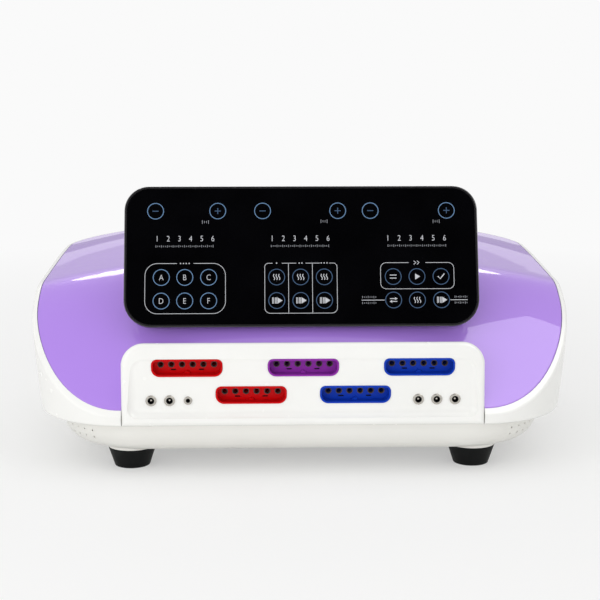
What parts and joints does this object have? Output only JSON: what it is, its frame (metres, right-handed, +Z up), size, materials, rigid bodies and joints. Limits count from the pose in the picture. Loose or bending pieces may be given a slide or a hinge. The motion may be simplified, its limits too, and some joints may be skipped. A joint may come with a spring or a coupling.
{
  "type": "compression therapy pump",
  "caption": "Table-top air pump with a crowned case, a tilted glass control head and a front panel of oval hose sockets and small jacks.",
  "frame": {"origin": "on the table, under the middle of the case", "axes": "+Z up, +X to the user's right, -Y towards the user"},
  "size_m": [0.4662, 0.3152, 0.2334],
  "materials": {
    "case_white": "glossy injection-moulded plastic",
    "tray_white": "glossy injection-moulded plastic",
    "cover_purple": "high-gloss painted plastic",
    "foot_rubber": "matte moulded rubber",
    "socket_red": "glossy plastic",
    "socket_violet": "glossy plastic",
    "socket_blue": "glossy plastic",
    "black_plastic": "fine texture",
    "nickel": "nickel plate",
    "zinc_steel": "zinc plate",
    "board_green": "solder mask",
    "seal_grey": "matte moulded rubber",
    "clear_hose": "soft silicone",
    "valve_plastic": "fine texture",
    "coil_wrap": "wrapped coil",
    "coil_copper": "enamelled copper wire on a steel core",
    "pump_aluminium": "die cast",
    "blade_brass": "plated contact",
    "bezel_black": "piano black",
    "head_glass": "black-backed glass with printed key rings",
    "display_dark": "smoked display window",
    "cable_jacket": "flexible jacket"
  },
  "bodies": {
    "housing": {"base_tray": "tray_white", "case_band": "case_white", "top_cover": "cover_purple", "connector_panel": "case_white", "foot_front_left": "foot_rubber", "foot_front_right": "foot_rubber", "foot_rear_left": "foot_rubber", "foot_rear_right": "foot_rubber", "foot_screws": "zinc_steel", "case_screws": "zinc_steel", "small_screws": "zinc_steel", "hose_socket_upper_left": "socket_red", "hose_socket_upper_middle": "socket_violet", "hose_socket_upper_right": "socket_blue", "hose_socket_lower_left": "socket_red", "hose_socket_lower_right": "socket_blue", "port_seals": "seal_grey", "barrel_jack_bodies": "black_plastic", "barrel_jack_metal": "nickel", "audio_jack": "nickel", "jack_boards": "board_green", "socket_hoses": "clear_hose", "valve_manifold": "valve_plastic", "valve_coils": "coil_wrap", "pressure_sensor": "black_plastic", "pump_housing": "pump_aluminium", "pump_head_left": "pump_aluminium", "pump_head_right": "pump_aluminium", "pump_coils": "coil_copper", "pump_diaphragms": "foot_rubber", "pump_mounts": "foot_rubber", "pump_hose": "clear_hose", "main_board": "board_green", "main_board_parts": "black_plastic", "power_board": "board_green", "power_board_parts": "black_plastic", "rear_plate": "black_plastic", "fan_frame": "black_plastic", "mains_inlet": "black_plastic", "inlet_blades": "blade_brass", "rocker_frame": "black_plastic", "head_bezel": "bezel_black", "head_glass": "head_glass", "head_back": "black_plastic", "head_pedestal": "black_plastic", "control_board": "board_green", "display_modules": "display_dark", "touch_springs": "zinc_steel", "head_cable": "cable_jacket"},
    "rocker": {"power_rocker": "black_plastic"},
    "fuse_drawer_body": {"fuse_drawer": "black_plastic"},
    "fan_rotor_body": {"fan_rotor": "black_plastic"},
    "armature": {"pump_armature": "zinc_steel"},
    "plunger_1": {"valve_plunger_1": "zinc_steel"},
    "plunger_2": {"valve_plunger_2": "zinc_steel"},
    "plunger_3": {"valve_plunger_3": "zinc_steel"},
    "plunger_4": {"valve_plunger_4": "zinc_steel"},
    "plunger_5": {"valve_plunger_5": "zinc_steel"},
    "plunger_6": {"valve_plunger_6": "zinc_steel"}
  },
  "joints": [
    {"name": "power_rocker_hinge", "type": "hinge", "parent": "housing", "child": "rocker", "pos_m": [0.015, 0.1461, 0.093], "axis": [1, 0, 0], "range_deg": [0, 18]},
    {"name": "fuse_drawer_slide", "type": "slide", "parent": "housing", "child": "fuse_drawer_body", "axis": [0, 1, 0], "range_m": [0, 0.018]},
    {"name": "fan_spin", "type": "hinge", "parent": "housing", "child": "fan_rotor_body", "pos_m": [-0.06, 0.1375, 0.093], "axis": [0, 1, 0], "continuous": true},
    {"name": "armature_stroke", "type": "slide", "parent": "housing", "child": "armature", "axis": [1, 0, 0], "range_m": [-0.0015, 0.0015], "stiffness_N_per_m": 2500},
    {"name": "valve_plunger_1_lift", "type": "slide", "parent": "housing", "child": "plunger_1", "axis": [0, 0, 1], "range_m": [0, 0.002], "stiffness_N_per_m": 150, "springref_m": -0.003},
    {"name": "valve_plunger_2_lift", "type": "slide", "parent": "housing", "child": "plunger_2", "axis": [0, 0, 1], "range_m": [0, 0.002], "stiffness_N_per_m": 150, "springref_m": -0.003},
    {"name": "valve_plunger_3_lift", "type": "slide", "parent": "housing", "child": "plunger_3", "axis": [0, 0, 1], "range_m": [0, 0.002], "stiffness_N_per_m": 150, "springref_m": -0.003},
    {"name": "valve_plunger_4_lift", "type": "slide", "parent": "housing", "child": "plunger_4", "axis": [0, 0, 1], "range_m": [0, 0.002], "stiffness_N_per_m": 150, "springref_m": -0.003},
    {"name": "valve_plunger_5_lift", "type": "slide", "parent": "housing", "child": "plunger_5", "axis": [0, 0, 1], "range_m": [0, 0.002], "stiffness_N_per_m": 150, "springref_m": -0.003},
    {"name": "valve_plunger_6_lift", "type": "slide", "parent": "housing", "child": "plunger_6", "axis": [0, 0, 1], "range_m": [0, 0.002], "stiffness_N_per_m": 150, "springref_m": -0.003}
  ]
}
